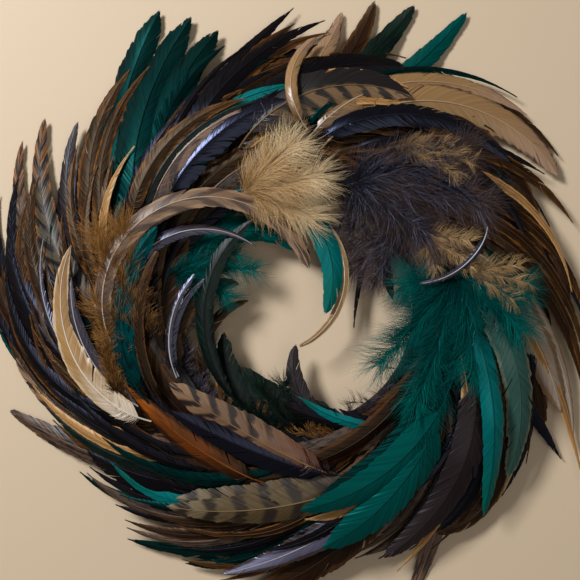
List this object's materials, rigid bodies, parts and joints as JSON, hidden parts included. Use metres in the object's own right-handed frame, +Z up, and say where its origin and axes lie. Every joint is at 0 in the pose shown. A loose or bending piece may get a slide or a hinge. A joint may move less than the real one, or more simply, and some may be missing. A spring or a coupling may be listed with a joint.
{
  "type": "feather fascinator headpiece",
  "caption": "Ring headpiece of rooster feathers sweeping clockwise in overlapping rows on a wired padded band, held in the hair by sprung clips.",
  "frame": {"origin": "centre of the ring, on the surface that the feather tips rest on", "axes": "+Z up out of the feathers, away from the wearer's head; the hair clips lie on the X axis and the feathers sweep clockwise seen from +Z"},
  "size_m": [0.3879, 0.3705, 0.0446],
  "materials": {
    "felt": "wool felt",
    "buckram": "stiffened open weave",
    "cloth": "woven cotton tape",
    "steel": "bright plated",
    "feather_teal": "dyed feather, satin sheen",
    "feather_black": "glossy feather with blue sheen",
    "feather_brown": "satin feather",
    "feather_ginger": "satin feather",
    "feather_cream": "satin feather",
    "feather_barred": "barred satin feather"
  },
  "bodies": {
    "headpiece": {"felt_lining": "felt", "buckram_base": "buckram", "outer_rim_wire": "steel", "inner_rim_wire": "steel", "outer_edge_binding": "cloth", "inner_edge_binding": "cloth", "padding_roll": "cloth", "outer_header_tape": "cloth", "middle_header_tape": "cloth", "top_header_tape": "cloth", "outer_feather_01": "feather_black", "outer_feather_02": "feather_teal", "outer_feather_03": "feather_ginger", "outer_feather_04": "feather_brown", "outer_feather_05": "feather_cream", "outer_feather_06": "feather_teal", "outer_feather_07": "feather_cream", "outer_feather_08": "feather_black", "outer_feather_09": "feather_teal", "outer_feather_10": "feather_brown", "outer_feather_11": "feather_barred", "outer_feather_12": "feather_brown", "outer_feather_13": "feather_brown", "outer_feather_14": "feather_barred", "outer_feather_15": "feather_teal", "outer_feather_16": "feather_barred", "outer_feather_17": "feather_brown", "outer_feather_18": "feather_cream", "bright_teal_feather": "feather_teal", "smoky_feather": "feather_brown", "mottled_feather": "feather_barred", "rosy_tan_feather": "feather_cream", "golden_cream_feather": "feather_cream", "spotted_teal_feather": "feather_teal", "olive_barred_feather": "feather_barred", "purple_black_feather": "feather_black", "teal_down_plume": "feather_teal", "black_down_plume": "feather_black", "cream_down_plume": "feather_cream", "glossy_teal_curl": "feather_teal", "brown_down_plume": "feather_brown", "arching_barred_plume": "feather_barred", "orange_brown_plume": "feather_ginger", "broad_barred_plume": "feather_barred", "long_teal_plume": "feather_teal", "inner_feather_1": "feather_brown", "inner_feather_2": "feather_teal", "inner_feather_3": "feather_teal", "inner_feather_4": "feather_brown", "inner_feather_5": "feather_teal", "inner_feather_6": "feather_black", "right_clip_fixed_jaw": "steel", "right_clip_hinge_pin": "steel", "right_clip_spring": "steel", "left_clip_fixed_jaw": "steel", "left_clip_hinge_pin": "steel", "left_clip_spring": "steel"},
    "right_clip_lever": {"right_clip_lever_jaw": "steel"},
    "left_clip_lever": {"left_clip_lever_jaw": "steel"}
  },
  "joints": [
    {"name": "right_clip_hinge", "type": "hinge", "parent": "headpiece", "child": "right_clip_lever", "pos_m": [0.085, 0, 0.0063], "axis": [1, 0, 0], "range_deg": [0, 20], "stiffness_Nm_per_rad": 0.02, "springref_deg": -34.38},
    {"name": "left_clip_hinge", "type": "hinge", "parent": "headpiece", "child": "left_clip_lever", "pos_m": [-0.085, 0, 0.0063], "axis": [-1, 0, 0], "range_deg": [0, 20], "stiffness_Nm_per_rad": 0.02, "springref_deg": -34.38}
  ]
}
